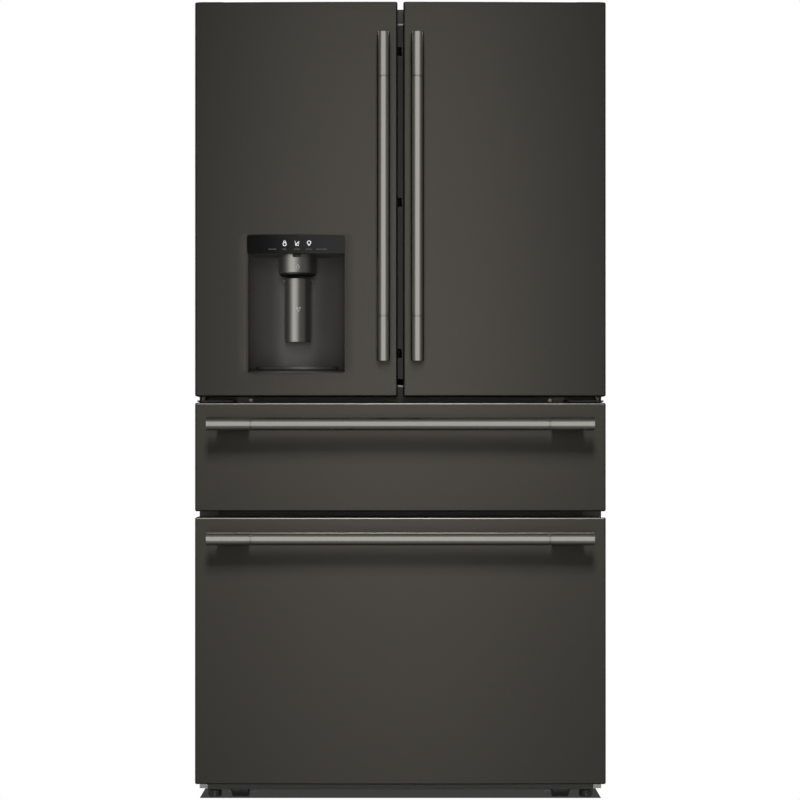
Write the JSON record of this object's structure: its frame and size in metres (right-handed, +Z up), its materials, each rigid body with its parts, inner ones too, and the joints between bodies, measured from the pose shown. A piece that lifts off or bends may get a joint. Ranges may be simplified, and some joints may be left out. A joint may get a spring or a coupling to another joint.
{
  "type": "french door refrigerator",
  "caption": "French door refrigerator with paired upper doors, through-door ice and water outlet, middle drawer, freezer drawer and round bar handles.",
  "frame": {"origin": "bottom centre of the bounding box, on the floor", "axes": "+Z up, +X to the viewer's right, doors face -Y"},
  "size_m": [0.908, 0.91, 1.786],
  "materials": {
    "dark_steel_front": "satin, fingerprint-resistant dark stainless",
    "handle_metal": "satin dark nickel",
    "cabinet_paint": "textured dark grey",
    "rear_sheet": "matt galvanised look",
    "foam": "rigid foam",
    "liner_plastic": "white satin",
    "rail_steel": "satin",
    "frame_steel": "zinc plated",
    "black_plastic": "moulded",
    "hinge_steel": "satin",
    "clear_glass": "clear",
    "clear_plastic": "translucent",
    "duct_plastic": "satin",
    "compressor_black": "gloss",
    "condenser_metal": "matt",
    "fan_plastic": "moulded",
    "roller_plastic": "moulded",
    "slide_steel": "zinc plated",
    "gasket_rubber": "matt",
    "dispenser_dark": "satin dark",
    "panel_gloss": "gloss black",
    "chute_plastic": "satin",
    "tray_plastic": "satin",
    "mullion_paint": "satin"
  },
  "bodies": {
    "cabinet": {"cabinet_shell": "cabinet_paint", "rear_panel": "rear_sheet", "fridge_liner": "liner_plastic", "middle_liner": "liner_plastic", "freezer_liner": "liner_plastic", "cross_rails": "rail_steel", "cabinet_foam": "foam", "base_frame": "rail_steel", "corner_brackets": "frame_steel", "toe_grille": "black_plastic", "top_hinges": "hinge_steel", "hinge_covers": "black_plastic", "centre_hinges": "hinge_steel", "glass_shelves": "clear_glass", "crisper_cover": "clear_glass", "crispers": "clear_plastic", "air_duct": "duct_plastic", "compressor": "compressor_black", "condenser": "condenser_metal", "machine_cover": "rear_sheet", "fixed_slides": "slide_steel", "freezer_basket": "clear_plastic"},
    "fan": {"condenser_fan": "fan_plastic"},
    "left_foot": {"foot_left": "black_plastic"},
    "right_foot": {"foot_right": "black_plastic"},
    "front_roller_pair": {"front_rollers": "roller_plastic"},
    "rear_roller_pair": {"rear_rollers": "roller_plastic"},
    "middle_slides": {"middle_slide_members": "slide_steel"},
    "freezer_slides": {"freezer_slide_members": "slide_steel"},
    "left_door": {"left_door_skin": "dark_steel_front", "left_door_liner": "liner_plastic", "left_door_gasket": "gasket_rubber", "left_door_handle": "handle_metal", "left_door_bins": "clear_plastic", "ice_compartment": "liner_plastic", "dispenser_housing": "dispenser_dark", "control_panel": "panel_gloss", "dispenser_chute": "chute_plastic", "drip_tray": "tray_plastic", "mullion_hinges": "black_plastic"},
    "paddle": {"dispenser_paddle": "chute_plastic"},
    "flipper_mullion": {"mullion": "mullion_paint"},
    "right_door": {"right_door_skin": "dark_steel_front", "right_door_liner": "liner_plastic", "right_door_gasket": "gasket_rubber", "right_door_handle": "handle_metal", "right_door_bins": "clear_plastic"},
    "dairy_flap": {"dairy_lid": "clear_plastic"},
    "middle_drawer": {"middle_front_skin": "dark_steel_front", "middle_front_liner": "liner_plastic", "middle_gasket": "gasket_rubber", "middle_handle": "handle_metal", "middle_tub": "clear_plastic", "middle_drawer_runners": "slide_steel"},
    "freezer_drawer": {"freezer_front_skin": "dark_steel_front", "freezer_front_liner": "liner_plastic", "freezer_gasket": "gasket_rubber", "freezer_handle": "handle_metal", "freezer_tub": "clear_plastic", "freezer_drawer_runners": "slide_steel"}
  },
  "joints": [
    {"name": "left_door_hinge", "type": "hinge", "parent": "cabinet", "child": "left_door", "pos_m": [-0.436, -0.345, 1.3], "axis": [0, 0, -1], "range_deg": [0, 120]},
    {"name": "right_door_hinge", "type": "hinge", "parent": "cabinet", "child": "right_door", "pos_m": [0.436, -0.345, 1.3], "axis": [0, 0, 1], "range_deg": [0, 120]},
    {"name": "mullion_flip", "type": "hinge", "parent": "left_door", "child": "flipper_mullion", "pos_m": [-0.012, -0.29, 1.34], "axis": [0, 0, 1], "range_deg": [0, 85]},
    {"name": "dispenser_push", "type": "hinge", "parent": "left_door", "child": "paddle", "pos_m": [-0.2295, -0.324, 1.161], "axis": [1, 0, 0], "range_deg": [0, 8], "stiffness_Nm_per_rad": 0.5, "springref_deg": -8.59},
    {"name": "dairy_flap_hinge", "type": "hinge", "parent": "right_door", "child": "dairy_flap", "pos_m": [0.2215, -0.227, 1.712], "axis": [1, 0, 0], "range_deg": [0, 85]},
    {"name": "middle_drawer_slide", "type": "slide", "parent": "cabinet", "child": "middle_drawer", "axis": [0, -1, 0], "range_m": [0, 0.4]},
    {"name": "middle_telescope", "type": "slide", "parent": "cabinet", "child": "middle_slides", "axis": [0, -1, 0], "range_m": [0, 0.2]},
    {"name": "freezer_drawer_slide", "type": "slide", "parent": "cabinet", "child": "freezer_drawer", "axis": [0, -1, 0], "range_m": [0, 0.45]},
    {"name": "freezer_telescope", "type": "slide", "parent": "cabinet", "child": "freezer_slides", "axis": [0, -1, 0], "range_m": [0, 0.225]},
    {"name": "left_foot_turn", "type": "hinge", "parent": "cabinet", "child": "left_foot", "pos_m": [-0.42, -0.281, 0.03], "axis": [0, 0, 1], "continuous": true},
    {"name": "right_foot_turn", "type": "hinge", "parent": "cabinet", "child": "right_foot", "pos_m": [0.42, -0.281, 0.03], "axis": [0, 0, 1], "continuous": true},
    {"name": "front_rollers_turn", "type": "hinge", "parent": "cabinet", "child": "front_roller_pair", "pos_m": [0, -0.29, 0.02], "axis": [1, 0, 0], "continuous": true},
    {"name": "rear_rollers_turn", "type": "hinge", "parent": "cabinet", "child": "rear_roller_pair", "pos_m": [0, 0.395, 0.025], "axis": [1, 0, 0], "continuous": true},
    {"name": "condenser_fan_turn", "type": "hinge", "parent": "cabinet", "child": "fan", "pos_m": [-0.23, 0.351, 0.163], "axis": [0, 1, 0], "continuous": true}
  ],
  "couplings": [
    {"joint": "middle_telescope", "follows": "middle_drawer_slide", "ratio": 0.5},
    {"joint": "freezer_telescope", "follows": "freezer_drawer_slide", "ratio": 0.5}
  ]
}
